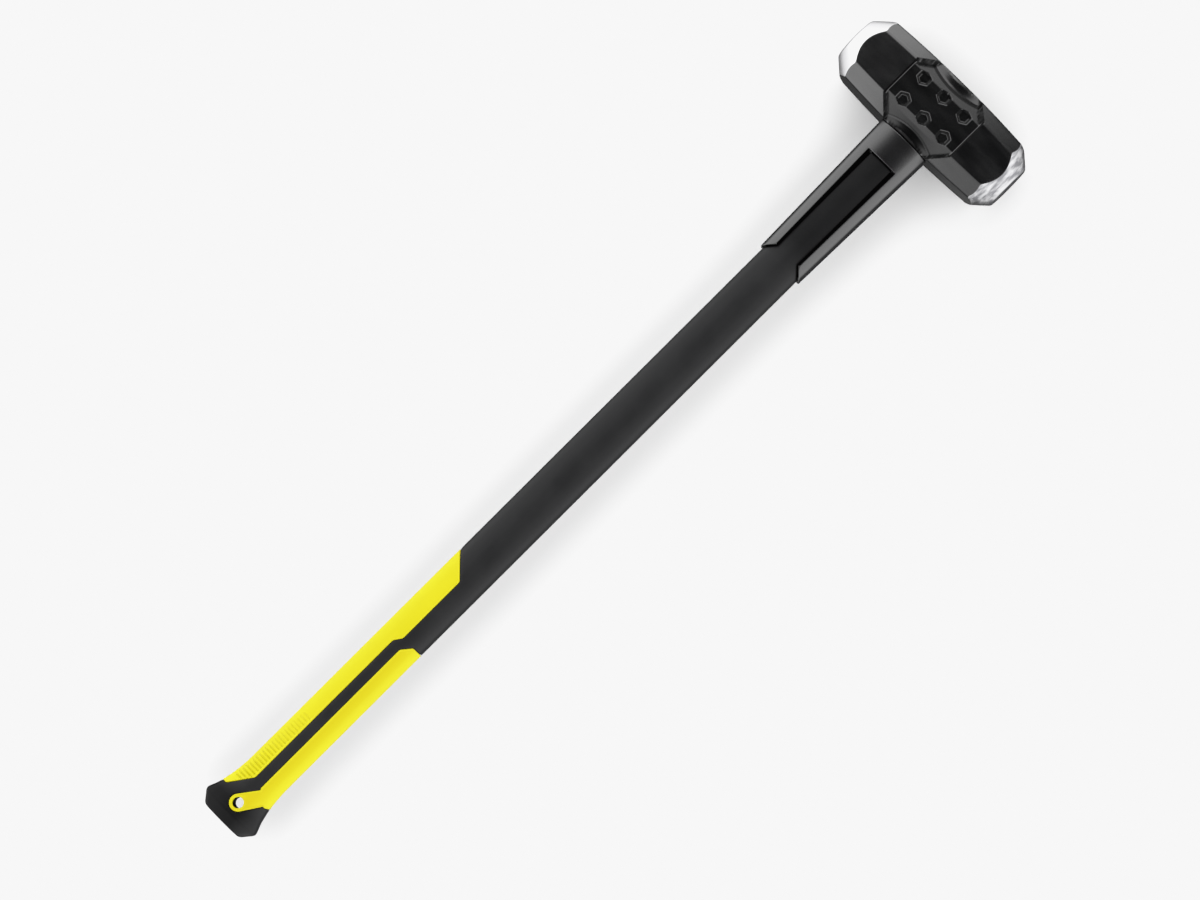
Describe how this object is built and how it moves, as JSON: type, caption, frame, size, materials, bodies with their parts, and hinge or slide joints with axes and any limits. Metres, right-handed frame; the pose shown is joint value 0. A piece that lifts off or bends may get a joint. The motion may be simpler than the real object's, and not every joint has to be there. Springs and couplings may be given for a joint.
{
  "type": "sledgehammer",
  "caption": "Long-handled sledgehammer with an octagonal steel head, fibreglass-cored handle, soft grip pads, handle guard and flared butt.",
  "frame": {"origin": "centre of the lanyard hole, where it crosses the handle's axis", "axes": "+X along the handle towards the head, +Y along the striking axis, +Z out of the upper cheek; the tool lies on its cheek"},
  "size_m": [0.9144, 0.189, 0.0656],
  "materials": {
    "head_paint": "gloss black paint over forged steel, turned ends left bright",
    "fibreglass": "pultruded glass fibre rod",
    "resin": "cast epoxy",
    "jacket": "black moulded plastic, satin",
    "grip": "yellow soft thermoplastic rubber",
    "sleeve": "dark grey moulded plastic, satin"
  },
  "bodies": {
    "root": {"head": "head_paint", "core_rod": "fibreglass", "eye_resin": "resin", "handle_jacket": "jacket", "grip_pad_lower": "grip", "grip_pad_upper": "grip", "overstrike_sleeve": "sleeve"}
  },
  "joints": []
}
